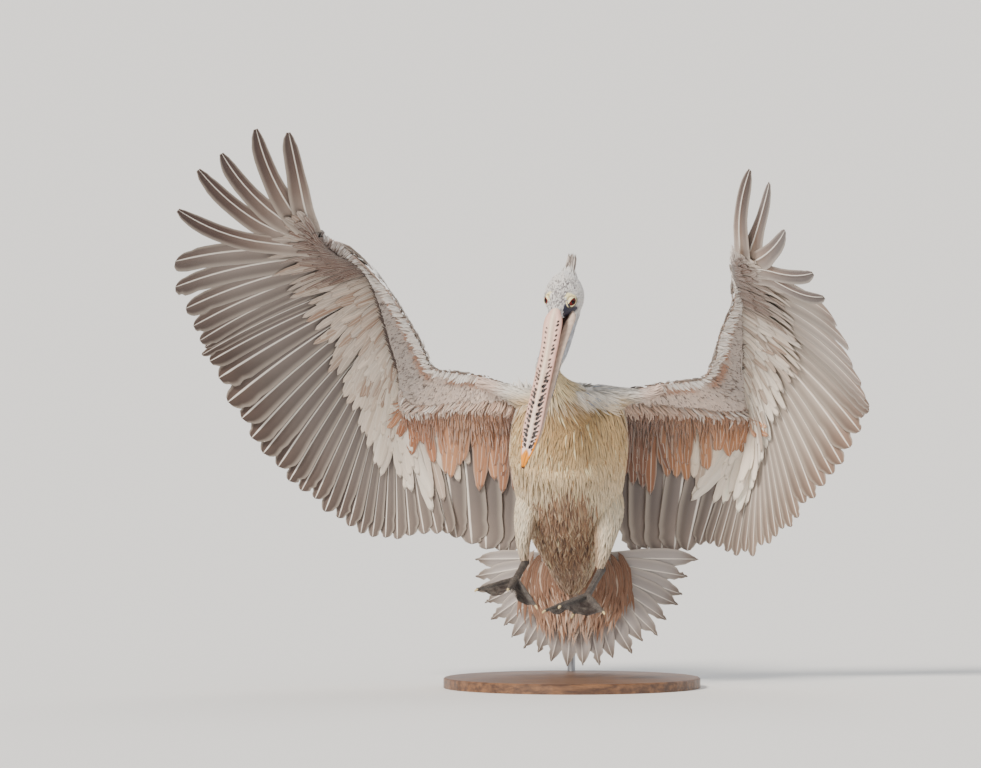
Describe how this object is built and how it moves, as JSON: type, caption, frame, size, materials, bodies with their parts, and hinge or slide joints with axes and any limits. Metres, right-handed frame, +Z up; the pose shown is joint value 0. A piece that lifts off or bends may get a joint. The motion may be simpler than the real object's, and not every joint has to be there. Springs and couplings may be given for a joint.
{
  "type": "spot-billed pelican landing with raised wings, display model",
  "caption": "Life-size pelican braking to land, wings raised and cupped, tail fanned, feet let down, held by a round base and a bent rod.",
  "frame": {"origin": "centre of the underside of the stand's round base", "axes": "+Z up; the bird faces -Y, so its right wing spreads toward -X and its left wing toward +X"},
  "size_m": [1.217, 0.8223, 0.9868],
  "materials": {
    "body_feathers": "soft overlapping contour feathers, cream and golden ochre on the breast, grey-white on neck and head",
    "flight_feathers": "stiff grey-brown vanes with pale shafts and edges, satin",
    "bill": "pinkish horn with rows of blue-black spots and an orange nail, satin",
    "pouch_skin": "bluish grey bare skin, finely wrinkled",
    "eye": "wet gloss, dark red-brown iris and black pupil",
    "leg_skin": "dark grey scaled skin and webs, pale claws",
    "stand_wood": "dark oiled wood, satin",
    "stand_steel": "brushed steel rod"
  },
  "bodies": {
    "root": {"stand_base": "stand_wood", "stand_rod": "stand_steel", "trunk": "body_feathers", "neck_upper": "body_feathers", "neck_lower": "body_feathers", "head": "body_feathers", "crest": "body_feathers", "thigh_right": "body_feathers", "thigh_left": "body_feathers", "undertail_coverts": "body_feathers", "tail": "flight_feathers", "wing_right_arm": "flight_feathers", "wing_right_forearm": "flight_feathers", "wing_right_hand": "flight_feathers", "wing_left_arm": "flight_feathers", "wing_left_forearm": "flight_feathers", "wing_left_hand": "flight_feathers", "bill_upper": "bill", "bill_lower": "bill", "bill_pouch": "pouch_skin", "eye_right": "eye", "eye_left": "eye", "foot_right": "leg_skin", "foot_left": "leg_skin"}
  },
  "joints": []
}
